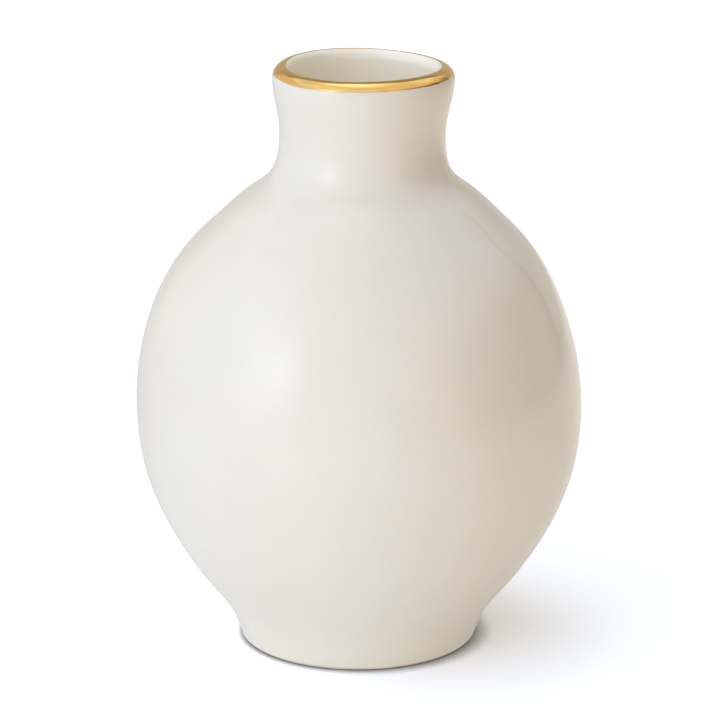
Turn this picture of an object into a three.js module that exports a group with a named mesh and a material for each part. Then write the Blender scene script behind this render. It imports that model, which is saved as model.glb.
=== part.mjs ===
// Porcelain vase: a slip-cast glazed body, a fired gold band over its lip and the bare ground
// foot that it stands on. Millimetres, +Z up. The foot's centre is on the floor at the origin,
// and the front faces -Y.

import * as THREE from "three";

// Driving sizes
const HEIGHT = 178;
const WALL = 4;
const SEAM = 0.3; // gap between neighbouring solids

// The glazed outside, from the top of the foot's round edge to the lip's widest ring
const OUTSIDE = [
  { height: 1.6, radius: 36.0 },
  { height: 9, radius: 39.1 },
  { height: 20, radius: 47.2 },
  { height: 34, radius: 56.6 },
  { height: 52, radius: 64.6 },
  { height: 72, radius: 67.5 },
  { height: 94, radius: 65.0 },
  { height: 112, radius: 58.5 },
  { height: 124, radius: 50.4 },
  { height: 132, radius: 42.4 },
  { height: 139, radius: 34.6 },
  { height: 145, radius: 27.5 },
  { height: 152, radius: 25.1 },
  { height: 162, radius: 25.2 },
  { height: 174.2, radius: 27.2 },
];
const foot = OUTSIDE[0];
const widestLip = OUTSIDE[OUTSIDE.length - 1];

// Lip: a large round outside the crest and a small one inside it
const LIP_OUTER_ROUND = HEIGHT - widestLip.height;
const LIP_INNER_ROUND = 1.8;
const CREST_RADIUS = widestLip.radius - LIP_OUTER_ROUND;
const MOUTH_RADIUS = CREST_RADIUS - LIP_INNER_ROUND;

// Gold band: where it starts and ends on the lip's round, counted in degrees from the widest ring
const GILT_START = 22;
const GILT_END = 98;
const GILT_THICKNESS = 0.5;

// Foot: the unglazed ring, and the glazed recess inside it
const FOOT_ROUND = foot.height;
const FOOT_INNER_RADIUS = 29.6;
const FOOT_INNER_ROUND = 0.6;
const BARE_HEIGHT = 1.1;
const RECESS_HEIGHT = 3.4;
const RECESS_ROUND = 2;

// Inside: the floor, the bowl that joins it to the wall, and the straight stretch behind the lip
const FLOOR_HEIGHT = 8;
const FLOOR_FLAT_RADIUS = 18;
const BOWL_HEIGHT = 19;
const THROAT_HEIGHT = 160;

// Firing leaves the vase a little out of true: its centre line wanders along X...
const CENTRE_LINE = [
  { height: 0, shift: -0.35 },
  { height: 30, shift: 0.1 },
  { height: 72, shift: 0 },
  { height: 104, shift: -0.45 },
  { height: 142, shift: 0.65 },
  { height: HEIGHT, shift: 1.35 },
];
// ...and the lip rises and falls, fading out down the neck
const LIP_TILT = -0.21;
const LIP_WAVE = -0.28;
const LIP_WAVE_FROM = 165;
const LIP_WAVE_FULL = 175;

// Mesh fineness
const SEGMENTS = 60;
const OUTSIDE_STEPS = 26;
const LIP_STEP = 15; // degrees
const ROUND_STEPS = 4;

const degrees = THREE.MathUtils.degToRad;
const point = (radius, height) => new THREE.Vector2(radius, height);

// A smooth curve through the values at the knots. The start is free, and so is the end, unless
// it is given a slope.
function cubicSpline(knots, values, endSlope = null) {
  const last = knots.length - 1;
  const slope = (i) => (values[i + 1] - values[i]) / (knots[i + 1] - knots[i]);
  const bend = new Array(last + 1).fill(0); // second derivative at each knot
  const carry = new Array(last + 1).fill(0);
  for (let i = 1; i < last; i += 1) {
    const span = knots[i + 1] - knots[i - 1];
    const share = (knots[i] - knots[i - 1]) / span;
    const pivot = share * bend[i - 1] + 2;
    bend[i] = (share - 1) / pivot;
    carry[i] = ((6 * (slope(i) - slope(i - 1))) / span - share * carry[i - 1]) / pivot;
  }
  if (endSlope !== null) {
    const excess = (3 * (endSlope - slope(last - 1))) / (knots[last] - knots[last - 1]);
    bend[last] = (excess - carry[last - 1] / 2) / (bend[last - 1] / 2 + 1);
  }
  for (let i = last - 1; i >= 0; i -= 1) {
    bend[i] = bend[i] * bend[i + 1] + carry[i];
  }
  return (at) => {
    let i = 0;
    while (i < last - 1 && at > knots[i + 1]) {
      i += 1;
    }
    const step = knots[i + 1] - knots[i];
    const after = (at - knots[i]) / step;
    const before = 1 - after;
    const curl = (before ** 3 - before) * bend[i] + (after ** 3 - after) * bend[i + 1];
    return before * values[i] + after * values[i + 1] + (curl * step * step) / 6;
  };
}

// The outside as an outline, foot to lip. It meets the lip's round upright.
function outsideOutline() {
  const radii = OUTSIDE.map((station) => station.radius);
  const heights = OUTSIDE.map((station) => station.height);
  const along = [0];
  for (let i = 1; i < OUTSIDE.length; i += 1) {
    along.push(along[i - 1] + Math.hypot(radii[i] - radii[i - 1], heights[i] - heights[i - 1]));
  }
  const radiusAt = cubicSpline(along, radii, 0);
  const heightAt = cubicSpline(along, heights, 1);
  const length = along[along.length - 1];
  return Array.from({ length: OUTSIDE_STEPS + 1 }, (_, i) => {
    const at = (length * i) / OUTSIDE_STEPS;
    return point(radiusAt(at), heightAt(at));
  });
}

// Part of a circle, from one angle to another, with angle 0 pointing outwards
function arc(centre, size, from, to, steps) {
  return Array.from({ length: steps + 1 }, (_, i) => {
    const angle = degrees(from + ((to - from) * i) / steps);
    return point(centre.x + size * Math.cos(angle), centre.y + size * Math.sin(angle));
  });
}

// The lip's surface between two angles (0 at the widest ring, 90 on the crest, 180 in the mouth),
// sunk below the glaze by the given depth
function lipStretch(from, to, depth) {
  const crest = 90;
  const outerCentre = point(CREST_RADIUS, HEIGHT - LIP_OUTER_ROUND);
  const innerCentre = point(CREST_RADIUS, HEIGHT - LIP_INNER_ROUND);
  const outerEnd = Math.min(to, crest);
  const innerStart = Math.max(from, crest);
  const steps = (a, b) => Math.max(1, Math.round((b - a) / LIP_STEP));
  const stretch = [];
  if (from < crest) {
    stretch.push(...arc(outerCentre, LIP_OUTER_ROUND - depth, from, outerEnd, steps(from, outerEnd)));
  }
  if (to > crest) {
    const inner = arc(innerCentre, LIP_INNER_ROUND - depth, innerStart, to, steps(innerStart, to));
    stretch.push(...inner.slice(from < crest ? 1 : 0));
  }
  return stretch;
}

// The outline moved inwards by the wall's thickness
function inset(outline, distance) {
  return outline.map((here, i) => {
    const before = outline[Math.max(i - 1, 0)];
    const after = outline[Math.min(i + 1, outline.length - 1)];
    const run = after.clone().sub(before).normalize();
    return point(here.x - run.y * distance, here.y + run.x * distance);
  });
}

// A bend from one point to another, leaving the first towards the corner and reaching the
// second from it
function bendThrough(start, corner, end) {
  return new THREE.QuadraticBezierCurve(start, corner, end).getPoints(ROUND_STEPS);
}

// The inside, mouth to floor: straight behind the lip, one wall's thickness inside the outside,
// then a bowl down to the flat floor
function insideOutline(outline) {
  const wall = inset(outline, WALL).filter((p) => p.y > BOWL_HEIGHT && p.y < THROAT_HEIGHT);
  wall.reverse();
  const throatTop = point(MOUTH_RADIUS, HEIGHT - LIP_INNER_ROUND);
  const throatBottom = wall[0];
  const throatCorner = point(MOUTH_RADIUS, (throatTop.y + throatBottom.y) / 2);
  const bowlTop = wall[wall.length - 1];
  const aboveBowl = wall[wall.length - 2];
  const lean = (aboveBowl.x - bowlTop.x) / (aboveBowl.y - bowlTop.y);
  const bowlCorner = point(bowlTop.x - lean * (bowlTop.y - FLOOR_HEIGHT), FLOOR_HEIGHT);
  const bowlBottom = point(FLOOR_FLAT_RADIUS, FLOOR_HEIGHT);
  return [
    ...bendThrough(throatTop, throatCorner, throatBottom).slice(1),
    ...wall.slice(1, -1),
    ...bendThrough(bowlTop, bowlCorner, bowlBottom),
    point(0, FLOOR_HEIGHT),
  ];
}

// How far the foot's round edge reaches out at a height
function footEdgeRadius(height) {
  const below = FOOT_ROUND - height;
  return foot.radius - FOOT_ROUND + Math.sqrt(FOOT_ROUND ** 2 - below ** 2);
}

function bodyProfile() {
  const outline = outsideOutline();
  const underside = BARE_HEIGHT + SEAM;
  const recessCentre = point(FOOT_INNER_RADIUS - RECESS_ROUND, RECESS_HEIGHT - RECESS_ROUND);
  const seamAngle = THREE.MathUtils.radToDeg(SEAM / LIP_OUTER_ROUND);
  const innerSeamAngle = THREE.MathUtils.radToDeg(SEAM / LIP_INNER_ROUND);
  const giltFrom = GILT_START - seamAngle;
  const giltTo = GILT_END + innerSeamAngle;
  return [
    point(0, RECESS_HEIGHT),
    ...arc(recessCentre, RECESS_ROUND, 90, 0, ROUND_STEPS),
    point(footEdgeRadius(underside), underside),
    ...outline,
    ...lipStretch(0, giltFrom, 0).slice(1),
    ...lipStretch(giltFrom, giltTo, GILT_THICKNESS + SEAM),
    ...lipStretch(giltTo, 180, 0),
    ...insideOutline(outline),
  ];
}

function giltProfile() {
  const skin = lipStretch(GILT_START, GILT_END, 0);
  const back = lipStretch(GILT_START, GILT_END, GILT_THICKNESS).reverse();
  return [...skin, ...back, skin[0].clone()];
}

function footProfile() {
  const outerCentre = point(foot.radius - FOOT_ROUND, FOOT_ROUND);
  const innerCentre = point(FOOT_INNER_RADIUS + FOOT_INNER_ROUND, FOOT_INNER_ROUND);
  const topAngle = -THREE.MathUtils.radToDeg(Math.asin((FOOT_ROUND - BARE_HEIGHT) / FOOT_ROUND));
  const start = point(FOOT_INNER_RADIUS, BARE_HEIGHT);
  return [
    start,
    ...arc(innerCentre, FOOT_INNER_ROUND, 180, 270, ROUND_STEPS),
    ...arc(outerCentre, FOOT_ROUND, -90, topAngle, ROUND_STEPS),
    start.clone(),
  ];
}

// Moves each point as the firing moved it
function warp(geometry) {
  const shiftAt = cubicSpline(
    CENTRE_LINE.map((station) => station.height),
    CENTRE_LINE.map((station) => station.shift),
  );
  const place = geometry.attributes.position;
  for (let i = 0; i < place.count; i += 1) {
    const x = place.getX(i);
    const y = place.getY(i);
    const z = place.getZ(i);
    const round = Math.atan2(y, x);
    const fade = THREE.MathUtils.smoothstep(z, LIP_WAVE_FROM, LIP_WAVE_FULL);
    const rise = LIP_TILT * Math.cos(round) + LIP_WAVE * Math.sin(2 * round);
    place.setXYZ(i, x + shiftAt(z), y, z + fade * rise);
  }
  geometry.computeVertexNormals();
}

// A piece turned about +Z from its profile, then warped
function turnedPiece(name, profile, look) {
  const geometry = new THREE.LatheGeometry(profile, SEGMENTS);
  geometry.rotateX(degrees(90));
  warp(geometry);
  const mesh = new THREE.Mesh(geometry, new THREE.MeshStandardMaterial(look));
  mesh.name = name;
  return mesh;
}

const vase = new THREE.Group();
vase.add(
  turnedPiece("vase_body", bodyProfile(), { color: 0xece8de, roughness: 0.12, metalness: 0 }),
  turnedPiece("gilt_rim", giltProfile(), { color: 0xd9a441, roughness: 0.18, metalness: 1 }),
  turnedPiece("foot_ring", footProfile(), { color: 0xe6dac6, roughness: 0.75, metalness: 0 }),
);

export default vase;
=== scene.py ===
"""Looks for the porcelain vase: fine lathe-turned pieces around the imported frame, their glazed, gilded
and bare ceramic materials, and a plain white studio. Shapes are worked out in millimetres from the
same stations as the part, and become metres when a mesh is made."""

import math

import bmesh
import bpy
import numpy as np
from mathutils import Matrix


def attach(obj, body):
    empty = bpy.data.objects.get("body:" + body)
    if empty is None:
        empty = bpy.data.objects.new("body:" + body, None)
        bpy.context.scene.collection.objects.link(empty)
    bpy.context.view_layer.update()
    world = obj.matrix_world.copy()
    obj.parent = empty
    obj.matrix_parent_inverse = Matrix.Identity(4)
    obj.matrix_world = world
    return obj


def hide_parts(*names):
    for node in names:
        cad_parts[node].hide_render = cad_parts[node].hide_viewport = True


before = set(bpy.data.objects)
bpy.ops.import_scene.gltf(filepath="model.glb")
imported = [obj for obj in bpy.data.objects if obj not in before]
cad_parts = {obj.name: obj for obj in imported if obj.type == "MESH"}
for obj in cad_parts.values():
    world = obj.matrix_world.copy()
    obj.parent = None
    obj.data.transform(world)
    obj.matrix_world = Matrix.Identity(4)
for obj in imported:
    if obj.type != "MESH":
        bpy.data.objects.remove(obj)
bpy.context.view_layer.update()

MM = 0.001
RNG = np.random.default_rng(11)

# ---------------------------------------------------------------- sizes, in millimetres

HEIGHT = 178
WALL = 4

# The glazed outside, from the top of the foot's round edge to the lip's widest ring: height, radius
OUTSIDE = [
    (1.6, 36.0),
    (9, 39.1),
    (20, 47.2),
    (34, 56.6),
    (52, 64.6),
    (72, 67.5),
    (94, 65.0),
    (112, 58.5),
    (124, 50.4),
    (132, 42.4),
    (139, 34.6),
    (145, 27.5),
    (152, 25.1),
    (162, 25.2),
    (174.2, 27.2),
]
FOOT_ROUND, FOOT_RADIUS = OUTSIDE[0]
LIP_HEIGHT, LIP_RADIUS = OUTSIDE[-1]

# The lip: a true round outside its crest, and an elliptic one that reaches and drops inside it
LIP_OUTER_ROUND = HEIGHT - LIP_HEIGHT
LIP_INNER_ROUND = 1.8
LIP_INNER_DROP = 3.4
CREST_RADIUS = LIP_RADIUS - LIP_OUTER_ROUND
MOUTH_RADIUS = CREST_RADIUS - LIP_INNER_ROUND

# The gold film: where it starts and ends on the lip, in degrees from the widest ring over the crest, how
# far it stands off the glaze and sinks into it, and the share of its width in which an edge thins out
GILT_START = 22
GILT_END = 98
GILT_PROUD = 0.035
GILT_SUNK = 0.06
GILT_THINS_WITHIN = 1 / 12

# The foot: the glaze stops short of the floor, with a rounded edge that stands proud of the bare ring
FOOT_INNER_RADIUS = 29.6
FOOT_INNER_ROUND = 0.6
GLAZE_STOP = 0.75
GLAZE_THICKNESS = 0.18
RING_TOP = 1.3
RECESS_HEIGHT = 3.4
RECESS_ROUND = 2
RECESS_FLAT_MIDDLE = 14
RECESS_FLAT_RADIUS = 27.2

# The inside: its flat floor, and the heights where the wall turns into the bowl and into the throat
FLOOR_HEIGHT = 8
FLOOR_FLAT_RADIUS = 18
BOWL_HEIGHT = 19
THROAT_HEIGHT = 160

# Firing's warp: the centre line's shift along X by height, and the lip's rise and fall
CENTRE_LINE = [(0, -0.35), (30, 0.1), (72, 0), (104, -0.45), (142, 0.65), (HEIGHT, 1.35)]
LIP_TILT = -0.21
LIP_WAVE = -0.28
LIP_WAVE_FROM = 165
LIP_WAVE_FULL = 175

# Slow unevenness of the hand-finished outside, which makes the reflections wander: the waves' depth,
# their number round the vase and their length up it, and the heights between which they come and go
UNEVEN_WAVES = 14
UNEVEN_DEPTH = 0.025
UNEVEN_LOBES = (2, 9)
UNEVEN_LENGTHS = (28, 110)
UNEVEN_COMES = (6, 25)
UNEVEN_GOES = (150, 170)

# How finely the meshes are divided
AROUND = 288
OUTSIDE_STEPS = 150
INSIDE_STEPS = 60
GILT_STEPS = 40


# ---------------------------------------------------------------- curves

def cubic_spline(knots, values, end_slope=None):
    """A smooth curve through values at knots, free at its ends unless an end slope is given."""
    knots = np.array(knots, float)
    values = np.array(values, float)
    last = len(knots) - 1
    step = np.diff(knots)
    slope = np.diff(values) / step
    system = np.eye(last + 1)
    target = np.zeros(last + 1)
    for i in range(1, last):
        system[i, i - 1 : i + 2] = step[i - 1], 2 * (step[i - 1] + step[i]), step[i]
        target[i] = 6 * (slope[i] - slope[i - 1])
    if end_slope is not None:
        system[last, last - 1 :] = step[-1], 2 * step[-1]
        target[last] = 6 * (end_slope - slope[-1])
    bend = np.linalg.solve(system, target)

    def curve(at):
        at = np.asarray(at, float)
        i = np.clip(np.searchsorted(knots, at) - 1, 0, last - 1)
        after = (at - knots[i]) / step[i]
        before = 1 - after
        curl = (before**3 - before) * bend[i] + (after**3 - after) * bend[i + 1]
        return before * values[i] + after * values[i + 1] + curl * step[i] ** 2 / 6

    return curve


def smoothstep(x, low, high):
    """0 below low and 1 above high, with a smooth step between."""
    t = np.clip((x - low) / (high - low), 0, 1)
    return t * t * (3 - 2 * t)


def outside_outline():
    """The outside as (radius, height) rows, foot to lip. It meets the lip's round upright."""
    heights, radii = np.array(OUTSIDE, float).T
    along = np.concatenate([[0], np.cumsum(np.hypot(np.diff(radii), np.diff(heights)))])
    at = np.linspace(0, along[-1], OUTSIDE_STEPS + 1)
    return np.stack([cubic_spline(along, radii, 0)(at), cubic_spline(along, heights, 1)(at)], 1)


def arc(centre, size, start, end, steps):
    """Part of a circle as (radius, height) rows, with angle 0 pointing outwards."""
    angle = np.radians(np.linspace(start, end, steps + 1))
    return np.stack([centre[0] + size * np.cos(angle), centre[1] + size * np.sin(angle)], 1)


def lip_point(angle, lift):
    """The lip's surface at angles in degrees, 90 being the crest, lifted off the glaze."""
    outside = angle < 90
    reach = np.where(outside, LIP_OUTER_ROUND, LIP_INNER_ROUND)
    drop = np.where(outside, LIP_OUTER_ROUND, LIP_INNER_DROP)
    turn = np.radians(angle)
    radius = CREST_RADIUS + (reach + lift) * np.cos(turn)
    height = HEIGHT - drop + (drop + lift) * np.sin(turn)
    return radius, height


def inset(outline, distance):
    """The outline moved inwards by the wall's thickness."""
    run = np.gradient(outline, axis=0)
    run /= np.linalg.norm(run, axis=1)[:, None]
    return outline + distance * np.stack([-run[:, 1], run[:, 0]], 1)


def bend_through(start, corner, end, steps):
    """A curve that leaves start towards the corner and reaches end from it."""
    t = np.linspace(0, 1, steps + 1)[:, None]
    start, corner, end = (np.array(p, float) for p in (start, corner, end))
    return start * (1 - t) ** 2 + 2 * corner * t * (1 - t) + end * t * t


def inside_outline(outline):
    """The inside, mouth to floor: upright below the lip, then the wall, then a bowl to the flat floor."""
    wall = inset(outline, WALL)
    wall = wall[(wall[:, 1] > BOWL_HEIGHT) & (wall[:, 1] < THROAT_HEIGHT)][::-1]
    wall = wall[:: max(1, len(wall) // INSIDE_STEPS)]
    throat_top = (MOUTH_RADIUS, HEIGHT - LIP_INNER_DROP)
    throat_corner = (MOUTH_RADIUS, (throat_top[1] + wall[0, 1]) / 2)
    lean = (wall[-2, 0] - wall[-1, 0]) / (wall[-2, 1] - wall[-1, 1])
    bowl_corner = (wall[-1, 0] - lean * (wall[-1, 1] - FLOOR_HEIGHT), FLOOR_HEIGHT)
    bowl_end = (FLOOR_FLAT_RADIUS, FLOOR_HEIGHT)
    return np.concatenate([
        bend_through(throat_top, throat_corner, wall[0], steps=12)[1:],
        wall[1:-1],
        bend_through(wall[-1], bowl_corner, bowl_end, steps=16),
        bend_through(bowl_end, (FLOOR_FLAT_RADIUS / 2, FLOOR_HEIGHT), (0, FLOOR_HEIGHT), steps=5)[1:],
    ])


def foot_edge_radius(height):
    """How far the foot's round edge reaches out at a height."""
    return FOOT_RADIUS - FOOT_ROUND + math.sqrt(FOOT_ROUND**2 - (FOOT_ROUND - height) ** 2)


# ---------------------------------------------------------------- meshes

centre_shift = cubic_spline(*zip(*CENTRE_LINE))


def warp(points):
    """Moves points, in millimetres, as the firing moved them."""
    x, y, z = points.T
    turn = np.arctan2(y, x)
    rise = LIP_TILT * np.cos(turn) + LIP_WAVE * np.sin(2 * turn)
    fade = smoothstep(z, LIP_WAVE_FROM, LIP_WAVE_FULL)
    return np.stack([x + centre_shift(z), y, z + fade * rise], 1)


def unevenness(turn, height):
    """A slow wander of the outside, in millimetres: a sum of long waves round and up the vase."""
    total = np.zeros(np.broadcast(turn, height).shape)
    for _ in range(UNEVEN_WAVES):
        lobes = RNG.integers(*UNEVEN_LOBES)
        length = RNG.uniform(*UNEVEN_LENGTHS)
        phase_round, phase_up = RNG.uniform(0, 2 * math.pi, 2)
        total += np.cos(lobes * turn + phase_round) * np.cos(2 * math.pi * height / length + phase_up)
    return UNEVEN_DEPTH * total


def shaded_mesh(name, points, faces):
    """A smooth-shaded object from points in millimetres."""
    mesh = bpy.data.meshes.new(name)
    mesh.from_pydata((points * MM).tolist(), [], faces)
    mesh.shade_smooth()
    mesh.update()
    obj = bpy.data.objects.new(name, mesh)
    bpy.context.scene.collection.objects.link(obj)
    return obj


def ring_faces(rings, around, closed):
    """Quads between rings of points. A closed profile joins its last ring to its first."""
    faces = []
    for i in range(rings if closed else rings - 1):
        low = i * around
        high = ((i + 1) % rings) * around
        for j in range(around):
            k = (j + 1) % around
            faces.append((low + j, low + k, high + k, high + j))
    return faces


def turned(name, profile, relief):
    """A piece turned from a profile that starts and ends on the axis, with a relief on its outside. Its
    faces run along the profile, a ring at a time."""
    turn = np.linspace(0, 2 * math.pi, AROUND, endpoint=False)
    rings = profile[1:-1]
    radius = rings[:, :1] + relief(turn[None, :], rings[:, 1:], rings[:, :1])
    height = np.repeat(rings[:, 1:], AROUND, 1)
    grid = np.stack([radius * np.cos(turn), radius * np.sin(turn), height], -1).reshape(-1, 3)
    ends = np.array([[0, 0, profile[0, 1]], [0, 0, profile[-1, 1]]])
    points = warp(np.concatenate([grid, ends]))
    first, last = len(grid), len(grid) + 1
    top = (len(rings) - 1) * AROUND
    following = [(j, (j + 1) % AROUND) for j in range(AROUND)]
    start_fan = [(first, k, j) for j, k in following]
    end_fan = [(top + j, top + k, last) for j, k in following]
    return shaded_mesh(name, points, start_fan + ring_faces(len(rings), AROUND, closed=False) + end_fan)


def make_body(outside, inside):
    """The whole glazed shell, with one material outside and another from the crest of the lip inwards."""
    outline = outside_outline()
    outer_stop = foot_edge_radius(GLAZE_STOP)
    # The glaze's edge, from the recess outwards: rounded where it stops on either side of the bare ring,
    # and a little higher between, where the ring hides it
    bead = [
        (FOOT_INNER_RADIUS, 1.15),
        (FOOT_INNER_RADIUS + 0.03, 0.9),
        (FOOT_INNER_RADIUS + 0.15, GLAZE_STOP),
        (FOOT_INNER_RADIUS + 1, GLAZE_STOP + 0.1),
        (outer_stop - 1, GLAZE_STOP + 0.1),
        (outer_stop - 0.16, GLAZE_STOP),
        (outer_stop - 0.03, GLAZE_STOP + 0.05),
    ]
    bead_top = GLAZE_STOP + 0.15
    edge_start = -math.degrees(math.asin((FOOT_ROUND - bead_top) / FOOT_ROUND))
    recess = (FOOT_INNER_RADIUS - RECESS_ROUND, RECESS_HEIGHT - RECESS_ROUND)
    recess_flat = [(radius, RECESS_HEIGHT) for radius in (0, RECESS_FLAT_MIDDLE, RECESS_FLAT_RADIUS)]
    glazed_outside = np.concatenate([
        bend_through(*recess_flat, steps=5),
        arc(recess, RECESS_ROUND, 90, 0, steps=8),
        bead,
        arc((FOOT_RADIUS - FOOT_ROUND, FOOT_ROUND), FOOT_ROUND, edge_start, 0, steps=6),
        outline[1:],
        np.stack(lip_point(np.linspace(0, 90, 17)[1:], 0), 1),
    ])
    glazed_inside_brightened = np.concatenate([
        np.stack(lip_point(np.linspace(90, 180, 13)[1:], 0), 1),
        inside_outline(outline),
    ])

    def relief(turn, height, radius):
        """The unevenness, on the outside alone, and not at the foot or the lip."""
        on_outside = radius > np.interp(height, outline[:, 1], outline[:, 0]) - WALL / 2
        fade = smoothstep(height, *UNEVEN_COMES) * (1 - smoothstep(height, *UNEVEN_GOES))
        return np.where(on_outside, unevenness(turn, height) * fade, 0)

    body = turned("glazed_body", np.concatenate([glazed_outside, glazed_inside_brightened]), relief)
    body.data.materials.append(outside)
    body.data.materials.append(inside)
    first_inside_face = (len(glazed_outside) - 1) * AROUND
    for face in body.data.polygons[first_inside_face:]:
        face.material_index = 1
    return body


def make_gold_band(material):
    """A closed film over the lip. Its edges wander a little and thin out to nothing."""
    around = 2 * AROUND
    turn = np.linspace(0, 2 * math.pi, around, endpoint=False)

    def wander(size, waves, fastest):
        """How an edge strays, in degrees over the lip: a sum of waves round it, up to the fastest."""
        total = np.zeros(around)
        for _ in range(waves):
            total += np.cos(RNG.integers(1, fastest) * turn + RNG.uniform(0, 2 * math.pi))
        return size * total / math.sqrt(waves)

    start = GILT_START + wander(0.9, waves=8, fastest=14) + wander(0.25, waves=8, fastest=90)
    end = GILT_END + wander(2.5, waves=6, fastest=12)
    share = np.linspace(0, 1, GILT_STEPS + 1)[:, None]
    angle = start + (end - start) * share
    thin = np.sqrt(np.clip(np.minimum(share, 1 - share) / GILT_THINS_WITHIN, 0, 1))
    sheets = []
    for lift, order in ((GILT_PROUD, 1), (-GILT_SUNK, -1)):
        radius, height = lip_point(angle, lift * thin)
        sheet = np.stack([radius * np.cos(turn), radius * np.sin(turn), height], -1)
        sheets.append(sheet[::order])
    skin, back = sheets
    grid = np.concatenate([skin, back[1:-1]])
    points = warp(grid.reshape(-1, 3))
    faces = ring_faces(len(grid), around, closed=True)
    band = shaded_mesh("gold_film", points, faces)
    band.data.materials.append(material)
    return band


def make_foot(material):
    """The bare ring, ground flat, a glaze's thickness inside the glazed surface above it."""
    inner = (FOOT_INNER_RADIUS + GLAZE_THICKNESS + FOOT_INNER_ROUND, FOOT_INNER_ROUND)
    outer = (FOOT_RADIUS - FOOT_ROUND, FOOT_ROUND)
    size = FOOT_ROUND - GLAZE_THICKNESS
    sole = GLAZE_THICKNESS
    arc_end = -math.degrees(math.asin((FOOT_ROUND - RING_TOP) / size))
    outer_arc = arc(outer, size, -90, arc_end, steps=10)
    outer_arc[:, 1] = (outer_arc[:, 1] - sole) * RING_TOP / (RING_TOP - sole)
    profile = np.concatenate([
        [(inner[0] - FOOT_INNER_ROUND, RING_TOP)],
        arc(inner, FOOT_INNER_ROUND, 180, 270, steps=6),
        outer_arc,
    ])
    turn = np.linspace(0, 2 * math.pi, AROUND, endpoint=False)
    radius, height = profile[:, :1], profile[:, 1:]
    grid = np.stack([radius * np.cos(turn), radius * np.sin(turn), height + 0 * turn], -1)
    points = warp(grid.reshape(-1, 3))
    faces = ring_faces(len(profile), AROUND, closed=True)
    foot = shaded_mesh("bare_foot", points, faces)
    foot.data.materials.append(material)
    return foot


# ---------------------------------------------------------------- materials

# A Map Range node's sockets
RANGE_SOCKETS = ("From Min", "From Max", "To Min", "To Max")

# Colours as linear red, green and blue
GLAZE_LIGHT = (0.85, 0.815, 0.69)
GLAZE_DARK = (0.83, 0.79, 0.66)
# Painted light: a paler glaze towards the foot, standing for light from the table
GLAZE_LIT_LOW = (0.90, 0.855, 0.71)
GLAZE_SPECK = (0.42, 0.34, 0.24)
# The inside's tones and glow are painted light: a paler copy of the glaze, with a glow for the light that
# the thin wall lets through
INSIDE_BRIGHTENED_LIGHT = (0.985, 0.945, 0.81)
INSIDE_BRIGHTENED_DARK = (0.975, 0.93, 0.79)
INSIDE_PAINTED_GLOW = (0.034, 0.028, 0.018)
GOLD_DEEP = (0.81, 0.48, 0.135)
GOLD_BRIGHT = (0.87, 0.57, 0.20)
BARE_LIGHT = (0.80, 0.71, 0.58)
BARE_DARK = (0.68, 0.57, 0.43)

# Painted light low on the vase, standing for light from the table around the foot: the heights where its
# paler tint starts and is full, in millimetres
GLAZE_LIT_LOW_FROM = 26
GLAZE_LIT_LOW_FULL_AT = 5

# How far a brush stroke stretches round the lip: the length, in metres, that one turn is squeezed into
STROKE_TURN = 0.012


class Nodes:
    """A material's node tree, with short ways to add and join nodes."""

    def __init__(self, name):
        self.material = bpy.data.materials.new(name)
        self.material.use_nodes = True
        self.tree = self.material.node_tree
        self.shader = self.tree.nodes["Principled BSDF"]

    def add(self, kind, **settings):
        node = self.tree.nodes.new("ShaderNode" + kind)
        for name, value in settings.items():
            setattr(node, name, value)
        return node

    def join(self, source, target):
        self.tree.links.new(source, target)

    def place(self):
        return self.add("TexCoord").outputs["Object"]

    def noise(self, where, scale, detail=2, roughness=0.5):
        node = self.add("TexNoise")
        node.inputs["Scale"].default_value = scale
        node.inputs["Detail"].default_value = detail
        node.inputs["Roughness"].default_value = roughness
        self.join(where, node.inputs["Vector"])
        return node.outputs["Fac"]

    def spread(self, value, low, high, to_low, to_high):
        """A value's range from low to high, spread over another range."""
        node = self.add("MapRange", clamp=True)
        for name, number in zip(RANGE_SOCKETS, (low, high, to_low, to_high)):
            node.inputs[name].default_value = number
        self.join(value, node.inputs["Value"])
        return node.outputs["Result"]

    def mix(self, share, first, second):
        """A colour between two, each one a colour or another node's output."""
        node = self.add("Mix", data_type="RGBA")
        self.join(share, node.inputs["Factor"])
        for colour, socket in ((first, node.inputs["A"]), (second, node.inputs["B"])):
            if isinstance(colour, tuple):
                socket.default_value = (*colour, 1)
            else:
                self.join(colour, socket)
        return node.outputs["Result"]

    def bump(self, height, strength, distance, onto=None):
        node = self.add("Bump")
        node.inputs["Strength"].default_value = strength
        node.inputs["Distance"].default_value = distance
        self.join(height, node.inputs["Height"])
        if onto is not None:
            self.join(onto, node.inputs["Normal"])
        return node.outputs["Normal"]

    def set(self, **values):
        for name, value in values.items():
            self.shader.inputs[name.replace("_", " ")].default_value = value


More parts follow.
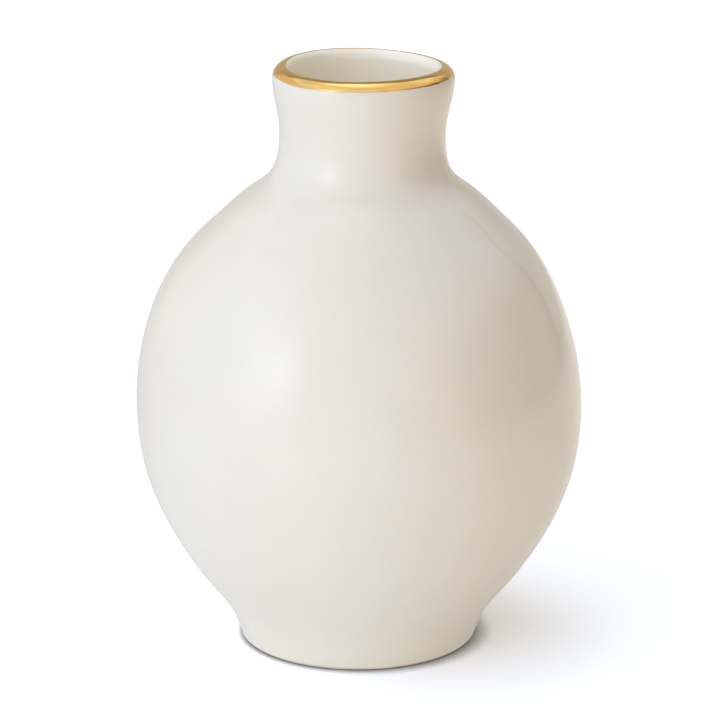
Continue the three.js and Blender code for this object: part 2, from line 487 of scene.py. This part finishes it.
def glazed_porcelain(name, light, dark, glow=None):
    """Warm white body under a clear glaze: faint cloudiness, specks, fine ripple, and a paler tint
    towards the foot that is painted light from the table. A glow is painted light too: it stands for the
    light that the thin wall lets through to its inside."""
    n = Nodes(name)
    where = n.place()
    cloud = n.spread(n.noise(where, scale=28, detail=3), 0.35, 0.65, 0, 1)
    tone = n.mix(cloud, light, dark)
    height = n.add("SeparateXYZ")
    n.join(where, height.inputs["Vector"])
    # Painted light: the tone turns paler towards the foot, for light from the table
    lit_low = n.spread(height.outputs["Z"], GLAZE_LIT_LOW_FROM * MM, GLAZE_LIT_LOW_FULL_AT * MM, 0, 1)
    tone = n.mix(lit_low, tone, GLAZE_LIT_LOW)
    speck = n.spread(n.noise(where, scale=900, detail=1), 0.80, 0.86, 0, 0.35)
    tone = n.mix(speck, tone, GLAZE_SPECK)
    n.join(tone, n.shader.inputs["Base Color"])
    roughness = n.spread(n.noise(where, scale=60, detail=3), 0.3, 0.7, 0.30, 0.40)
    n.join(roughness, n.shader.inputs["Roughness"])
    ripple = n.bump(n.noise(where, scale=160), strength=0.35, distance=0.04 * MM)
    n.join(ripple, n.shader.inputs["Coat Normal"])
    n.set(Specular_IOR_Level=0.25, Coat_Weight=1.0, Coat_Roughness=0.06, Coat_IOR=1.5)
    n.set(Subsurface_Weight=0.2, Subsurface_Scale=0.003, Subsurface_Radius=(1.0, 0.8, 0.55))
    # Painted light: a glow on the surface, where one is given
    if glow is not None:
        n.set(Emission_Color=(*glow, 1), Emission_Strength=1.0)
    return n.material


def fired_gold():
    """Bright fired gold: brush strokes that run round the lip, and thin reddish patches."""
    n = Nodes("fired_gold")
    where = n.place()
    split = n.add("SeparateXYZ")
    n.join(where, split.inputs["Vector"])
    turn = n.add("Math", operation="ARCTAN2")
    n.join(split.outputs["Y"], turn.inputs[0])
    n.join(split.outputs["X"], turn.inputs[1])
    flat = n.add("VectorMath", operation="MULTIPLY")
    n.join(where, flat.inputs[0])
    flat.inputs[1].default_value = (1, 1, 0)
    reach = n.add("VectorMath", operation="LENGTH")
    n.join(flat.outputs["Vector"], reach.inputs[0])
    stroke_at = n.add("CombineXYZ")
    n.join(n.spread(turn.outputs["Value"], -math.pi, math.pi, 0, STROKE_TURN), stroke_at.inputs["X"])
    n.join(reach.outputs["Value"], stroke_at.inputs["Y"])
    n.join(split.outputs["Z"], stroke_at.inputs["Z"])
    strokes = n.noise(stroke_at.outputs["Vector"], scale=1500, detail=3, roughness=0.6)
    patches = n.spread(n.noise(where, scale=140, detail=3), 0.35, 0.7, 0, 1)
    n.join(n.mix(patches, GOLD_BRIGHT, GOLD_DEEP), n.shader.inputs["Base Color"])
    n.join(n.spread(strokes, 0.3, 0.75, 0.07, 0.18), n.shader.inputs["Roughness"])
    ripple = n.bump(n.noise(where, scale=320), strength=0.3, distance=0.03 * MM)
    relief = n.bump(strokes, strength=0.25, distance=0.01 * MM, onto=ripple)
    n.join(relief, n.shader.inputs["Normal"])
    n.set(Metallic=1.0)
    return n.material


def bare_porcelain():
    """Unglazed ground porcelain: matte and grainy, with toasted stains."""
    n = Nodes("bare_porcelain")
    where = n.place()
    grain = n.noise(where, scale=2200, detail=3, roughness=0.7)
    stain = n.spread(n.noise(where, scale=90, detail=4), 0.4, 0.7, 0, 1)
    n.join(n.mix(stain, BARE_LIGHT, BARE_DARK), n.shader.inputs["Base Color"])
    n.join(n.spread(grain, 0.3, 0.7, 0.65, 0.85), n.shader.inputs["Roughness"])
    n.join(n.bump(grain, strength=0.6, distance=0.04 * MM), n.shader.inputs["Normal"])
    n.set(Specular_IOR_Level=0.3)
    return n.material


# ---------------------------------------------------------------- studio

# The camera: lens and sensor in millimetres, place in metres, tilt down in degrees
CAMERA_LENS = 199.05
CAMERA_SENSOR = 36
CAMERA_AT = (0.00023, -1.1554, 0.4299)
CAMERA_TILT = 16.54
CAMERA_SEES_TO = 30


def make_camera():
    """A long lens a little above the vase, looking down at its front."""
    camera = bpy.data.cameras.new("camera")
    camera.lens = CAMERA_LENS
    camera.sensor_width = CAMERA_SENSOR
    camera.clip_end = CAMERA_SEES_TO
    obj = bpy.data.objects.new("camera", camera)
    obj.location = CAMERA_AT
    obj.rotation_euler = (math.radians(90 - CAMERA_TILT), 0, 0)
    bpy.context.scene.collection.objects.link(obj)
    bpy.context.scene.camera = obj


def emission(name, colour, strength):
    """A material that only shines."""
    material = bpy.data.materials.new(name)
    material.use_nodes = True
    tree = material.node_tree
    tree.nodes.clear()
    glow = tree.nodes.new("ShaderNodeEmission")
    glow.inputs["Color"].default_value = (*colour, 1)
    glow.inputs["Strength"].default_value = strength
    output = tree.nodes.new("ShaderNodeOutputMaterial")
    tree.links.new(glow.outputs["Emission"], output.inputs["Surface"])
    return material


def staged(name, mesh, material):
    """A floor or backdrop object from a mesh."""
    mesh.materials.append(material)
    obj = bpy.data.objects.new(name, mesh)
    bpy.context.scene.collection.objects.link(obj)
    return obj


def level_rectangle(name, left, right, front, back, height):
    """A flat mesh over the ranges from left to right and from front to back, in metres."""
    corners = [(left, front, height), (right, front, height), (right, back, height), (left, back, height)]
    mesh = bpy.data.meshes.new(name)
    mesh.from_pydata(corners, [], [(0, 1, 2, 3)])
    return mesh


# The ground that the camera sees, in metres. It darkens where the vase stands close over it: within the
# lit reach of the foot on the left, and within the shaded reach on the right.
GROUND_REACH = 4
GROUND_COLOUR = (1.38, 1.45, 1.53)
CONTACT_SHADE = (0.0, 0.0, 0.0)
CONTACT_LIT_REACH = 0.0018
CONTACT_SHADED_REACH = 0.006
CONTACT_TURNS_WITHIN = 0.04

# The smaller table that the vase reflects, in metres: pale in front, grey behind, and tan on the right,
# where it dims towards its edge. The grey, the tan and the dimming are painted shade; the tan and the
# dimming stand for the vase's shadow and the dark room on the right.
TABLE_DROP = 0.0005
TABLE_LEFT = 3
TABLE_RIGHT = 0.9
TABLE_FRONT = 0.6
TABLE_BACK = 1.0
TABLE_PALE = (0.82, 0.82, 0.82)
TABLE_PALE_TO = -0.05
TABLE_SHADED_GREY = (0.50, 0.50, 0.50)
TABLE_SHADED_GREY_FROM = 0.25
TABLE_SHADED_TAN = (0.76, 0.69, 0.60)
TABLE_SHADED_TAN_FROM = 0.1
TABLE_DIM = (0.2, 0.18, 0.15)
TABLE_DIMS_FROM = 0.35

# Its glow, which stands for light that the sky's patches leave out: the front's is brighter on the left
TABLE_FRONT_GLOW = 0.45
TABLE_FRONT_TO = -0.25
TABLE_MIDDLE_GLOW = 0.16
TABLE_MIDDLE_FROM = -0.08
TABLE_BACK_GLOW = 0.28
TABLE_LIT_TO = 0.0
TABLE_UNLIT_FROM = 0.2
TABLE_DIM_GLOW = (0.05, 0.04, 0.03)

# The dome behind everything
BACKDROP_RADIUS = 8
BACKDROP_BRIGHTNESS = 1.1

# The tints of the studio's light
WHITE = (0.98, 1.0, 1.07)
COOL = (0.90, 1.0, 1.25)
CREAM = (1.07, 1.0, 0.89)
TAN = (1.3, 1.0, 0.8)

# The studio round the vase, as patches of sky: name, the edges on the left, right, below and above,
# tint and brightness. An edge is its angle and softness in degrees, or None. Azimuth 0 is in front
# and 90 is right.
SKY = [
    ("back_horizon", (136, 4), (-146, 6), None, (5, 4), CREAM, 0.6),
    ("back", (136, 1), (-146, 6), (5, 4), (34, 8), CREAM, 0.5),
    ("left_back", (-146, 6), (-105, 8), None, (40, 10), CREAM, 0.8),
    ("left_side", (-105, 8), (-72, 8), None, (40, 10), COOL, 0.9),
    ("left", (-72, 8), (-31, 6), None, (40, 10), COOL, 1.1),
    ("camera_side", (-31, 6), (19, 2), None, (44, 8), WHITE, 0.9),
    ("front_right", (19, 2), (52, 8), None, (44, 8), TAN, 0.75),
    ("right", (52, 8), (112, 2), None, (24, 8), TAN, 0.1),
    ("right_upper", (52, 8), (112, 2), (24, 8), (42, 8), TAN, 0.3),
    ("right_back", (112, 2), (136, 1), None, (34, 6), CREAM, 0.38),
    ("panel_left", (-156, 4), (-105, 10), (38, 5), (62, 8), WHITE, 0.8),
    ("panel_right", (112, 8), (152, 4), (36, 5), (62, 8), WHITE, 0.6),
    ("high_back", (152, 4), (-156, 4), (36, 5), (62, 8), CREAM, 0.32),
    ("high_left", (-105, 10), (-29, 8), (40, 10), (62, 8), WHITE, 1.1),
    ("high_right", (-29, 8), (112, 8), (42, 8), (62, 8), WHITE, 0.45),
    ("overhead", None, None, (62, 8), (76, 6), WHITE, 0.9),
    ("zenith", None, None, (76, 6), None, WHITE, 1.15),
]
# The gap between two of the studio's panels, as a patch that takes light away
GAPS = [
    ("gap_right", (133.5, 0.8), (136, 0.8), (-9, 1), (38, 3), CREAM, -0.36),
]
# Patches that only reflections show: the gold is brighter there than the light on the glaze explains
GLEAMS = [
    ("gleam_high", (-29, 8), (150, 4), (42, 8), (62, 8), WHITE, 0.45),
    ("gleam_right", (50, 8), (150, 4), (24, 8), (42, 8), WHITE, 0.5),
]
# Soft glows: name, azimuth, elevation and spread in degrees, the edge that cuts it off, tint, brightness
GLOWS = [
    ("softbox", -46, 15, 12, (-31, 6), COOL, 1.15),
    ("softbox_core", -41, 16, 7, (-31, 6), COOL, 0.75),
    ("overhead_box", -160, 73, 10, None, COOL, 1.2),
]


def tinted(tint, brightness):
    """A colour from a tint and how bright it is."""
    return tuple(brightness * channel for channel in tint)


def direction(azimuth, elevation):
    """A unit vector towards an azimuth and elevation in degrees."""
    turn, rise = math.radians(azimuth), math.radians(elevation)
    return (math.sin(turn) * math.cos(rise), -math.cos(turn) * math.cos(rise), math.sin(rise))


class Sky:
    """The world's node tree, which adds up patches of light."""

    def __init__(self):
        world = bpy.data.worlds.new("studio")
        world.use_nodes = True
        bpy.context.scene.world = world
        self.tree = world.node_tree
        self.total = None
        coordinates = self.tree.nodes.new("ShaderNodeTexCoord")
        self.ray = coordinates.outputs["Generated"]
        split = self.tree.nodes.new("ShaderNodeSeparateXYZ")
        self.tree.links.new(self.ray, split.inputs["Vector"])
        forwards = self.maths("MULTIPLY", split.outputs["Y"], -1)
        self.azimuth = self.maths("ARCTAN2", split.outputs["X"], forwards)
        self.elevation = self.maths("ARCSINE", split.outputs["Z"])
        self.reflected = self.tree.nodes.new("ShaderNodeLightPath").outputs["Is Glossy Ray"]

    def maths(self, operation, first, second=None):
        node = self.tree.nodes.new("ShaderNodeMath")
        node.operation = operation
        for socket, value in zip(node.inputs, (first, second)):
            if isinstance(value, (int, float)):
                socket.default_value = value
            elif value is not None:
                self.tree.links.new(value, socket)
        return node.outputs["Value"]

    def edge(self, angle, at, soft, rising):
        """1 on one side of an angle in degrees and 0 on the other, with a soft step."""
        node = self.tree.nodes.new("ShaderNodeMapRange")
        node.interpolation_type = "SMOOTHSTEP"
        ends = (0, 1) if rising else (1, 0)
        for name, number in zip(RANGE_SOCKETS, (math.radians(at - soft), math.radians(at + soft), *ends)):
            node.inputs[name].default_value = number
        self.tree.links.new(angle, node.inputs["Value"])
        return node.outputs["Result"]

    def add(self, name, share, colour):
        """Adds a colour, dimmed by a share that varies over the sky."""
        scaled = self.tree.nodes.new("ShaderNodeVectorMath")
        scaled.operation = "SCALE"
        scaled.name = name
        scaled.inputs[0].default_value = colour
        self.tree.links.new(share, scaled.inputs["Scale"])
        if self.total is None:
            self.total = scaled.outputs["Vector"]
            return
        node = self.tree.nodes.new("ShaderNodeVectorMath")
        self.tree.links.new(self.total, node.inputs[0])
        self.tree.links.new(scaled.outputs["Vector"], node.inputs[1])
        self.total = node.outputs["Vector"]

    def steps(self, angle, start, end):
        """The step up at a patch's start and down at its end, leaving out an edge that is None."""
        edges = [(start, True), (end, False)]
        return [self.edge(angle, *edge, rising) for edge, rising in edges if edge is not None]

    def patch(self, name, left, right, low, high, colour, shown_by=None):
        """A patch between four edges. One whose left edge is past its right edge goes round the back. It
        is dimmed by shown_by, where that is given."""
        sides = self.steps(self.azimuth, left, right)
        if len(sides) == 2:
            round_the_back = left[0] > right[0]
            sides = [self.maths("ADD" if round_the_back else "MULTIPLY", *sides)]
        share = shown_by
        for step in sides + self.steps(self.elevation, low, high):
            share = step if share is None else self.maths("MULTIPLY", share, step)
        self.add(name, share, colour)

    def glow(self, name, azimuth, elevation, spread, right, colour):
        """A round glow, its brightness falling off by angle from its middle, cut off at an azimuth."""
        middle = self.tree.nodes.new("ShaderNodeVectorMath")
        middle.operation = "DOT_PRODUCT"
        middle.inputs[1].default_value = direction(azimuth, elevation)
        self.tree.links.new(self.ray, middle.inputs[0])
        angle = self.maths("ARCCOSINE", middle.outputs["Value"])
        square = self.maths("MULTIPLY", angle, angle)
        fall = self.maths("MULTIPLY", square, -0.5 / math.radians(spread) ** 2)
        share = self.maths("EXPONENT", fall)
        if right is not None:
            share = self.maths("MULTIPLY", share, self.edge(self.azimuth, *right, False))
        self.add(name, share, colour)

    def finish(self):
        background = self.tree.nodes["Background"]
        self.tree.links.new(self.total, background.inputs["Color"])


def make_sky():
    """The studio's light: its patches and gaps, the patches in reflections only, and its glows."""
    sky = Sky()
    for *edges, tint, brightness in SKY + GAPS:
        sky.patch(*edges, tinted(tint, brightness))
    for *edges, tint, brightness in GLEAMS:
        sky.patch(*edges, tinted(tint, brightness), sky.reflected)
    for *shape, tint, brightness in GLOWS:
        sky.glow(*shape, tinted(tint, brightness))
    sky.finish()


def unseen_by_others(obj):
    """Leaves an object to the camera alone: it neither lights, shades nor shows in reflections."""
    obj.visible_diffuse = False
    obj.visible_glossy = False
    obj.visible_transmission = False
    obj.visible_shadow = False


def make_backdrop():
    """A white dome that only the camera sees, so that the floor runs into white in every view."""
    mesh = bpy.data.meshes.new("backdrop")
    shell = bmesh.new()
    bmesh.ops.create_icosphere(shell, subdivisions=3, radius=BACKDROP_RADIUS)
    shell.to_mesh(mesh)
    shell.free()
    unseen_by_others(staged("backdrop", mesh, emission("backdrop_white", (1, 1, 1), BACKDROP_BRIGHTNESS)))


def floor_material():
    """Matte and brighter than white, as an overexposed table is, so that only shadows show on it. It
    darkens where the vase stands close over it."""
    n = Nodes("floor_white")
    split = n.add("SeparateXYZ")
    n.join(n.place(), split.inputs["Vector"])
    reach = n.spread(split.outputs["X"], -CONTACT_TURNS_WITHIN, CONTACT_TURNS_WITHIN,
                     CONTACT_LIT_REACH, CONTACT_SHADED_REACH)
    nearness = n.add("AmbientOcclusion", samples=8)
    n.join(reach, nearness.inputs["Distance"])
    n.join(n.mix(nearness.outputs["AO"], CONTACT_SHADE, GROUND_COLOUR), n.shader.inputs["Base Color"])
    n.set(Roughness=1.0, Specular_IOR_Level=0.0)
    return n.material


def table_material():
    """The table top that the vase reflects, with the tones and the glow given above."""
    n = Nodes("table_grey")
    split = n.add("SeparateXYZ")
    n.join(n.place(), split.inputs["Vector"])
    # Painted shade: greyer behind, tan to the right, dimmer towards the right edge
    behind = n.spread(split.outputs["Y"], TABLE_PALE_TO, TABLE_SHADED_GREY_FROM, 0, 1)
    to_the_right = n.spread(split.outputs["X"], 0, TABLE_SHADED_TAN_FROM, 0, 1)
    tone = n.mix(to_the_right, n.mix(behind, TABLE_PALE, TABLE_SHADED_GREY), TABLE_SHADED_TAN)
    dimming = n.spread(split.outputs["X"], TABLE_DIMS_FROM, TABLE_RIGHT, 0, 1)
    n.join(n.mix(dimming, tone, TABLE_DIM), n.shader.inputs["Base Color"])
    glow = n.mix(behind, tinted(WHITE, TABLE_MIDDLE_GLOW), tinted(CREAM, TABLE_BACK_GLOW))
    in_front = n.spread(split.outputs["Y"], TABLE_MIDDLE_FROM, TABLE_FRONT_TO, 0, 1)
    unlit = n.spread(split.outputs["X"], TABLE_LIT_TO, TABLE_UNLIT_FROM, 0, 1)
    front_glow = n.mix(unlit, tinted(WHITE, TABLE_FRONT_GLOW), tinted(CREAM, TABLE_MIDDLE_GLOW))
    glow = n.mix(in_front, glow, front_glow)
    n.join(n.mix(dimming, glow, TABLE_DIM_GLOW), n.shader.inputs["Emission Color"])
    n.set(Roughness=1.0, Specular_IOR_Level=0.0, Emission_Strength=1.0)
    return n.material


def make_studio():
    floor = level_rectangle("floor", -GROUND_REACH, GROUND_REACH, -GROUND_REACH, GROUND_REACH, 0)
    unseen_by_others(staged("floor", floor, floor_material()))
    table = level_rectangle("table", -TABLE_LEFT, TABLE_RIGHT, -TABLE_FRONT, TABLE_BACK, -TABLE_DROP)
    staged("table", table, table_material()).visible_camera = False
    make_backdrop()
    make_sky()


def main():
    make_camera()
    outside = glazed_porcelain("glazed_porcelain", GLAZE_LIGHT, GLAZE_DARK)
    # The inside is painted light: a paler copy of the glaze with a glow, for the light that comes through
    # the thin wall
    inside = glazed_porcelain("glazed_inside_brightened", INSIDE_BRIGHTENED_LIGHT, INSIDE_BRIGHTENED_DARK, INSIDE_PAINTED_GLOW)
    body = make_body(outside, inside)
    gold = make_gold_band(fired_gold())
    foot = make_foot(bare_porcelain())
    for piece, node, slot in (
        (body, "vase_body", "glazed_porcelain"),
        (gold, "gilt_rim", "fired_gold"),
        (foot, "foot_ring", "bare_porcelain"),
    ):
        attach(piece, "root")
        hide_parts(node)
    make_studio()
    bpy.context.scene.view_settings.view_transform = "Standard"


main()
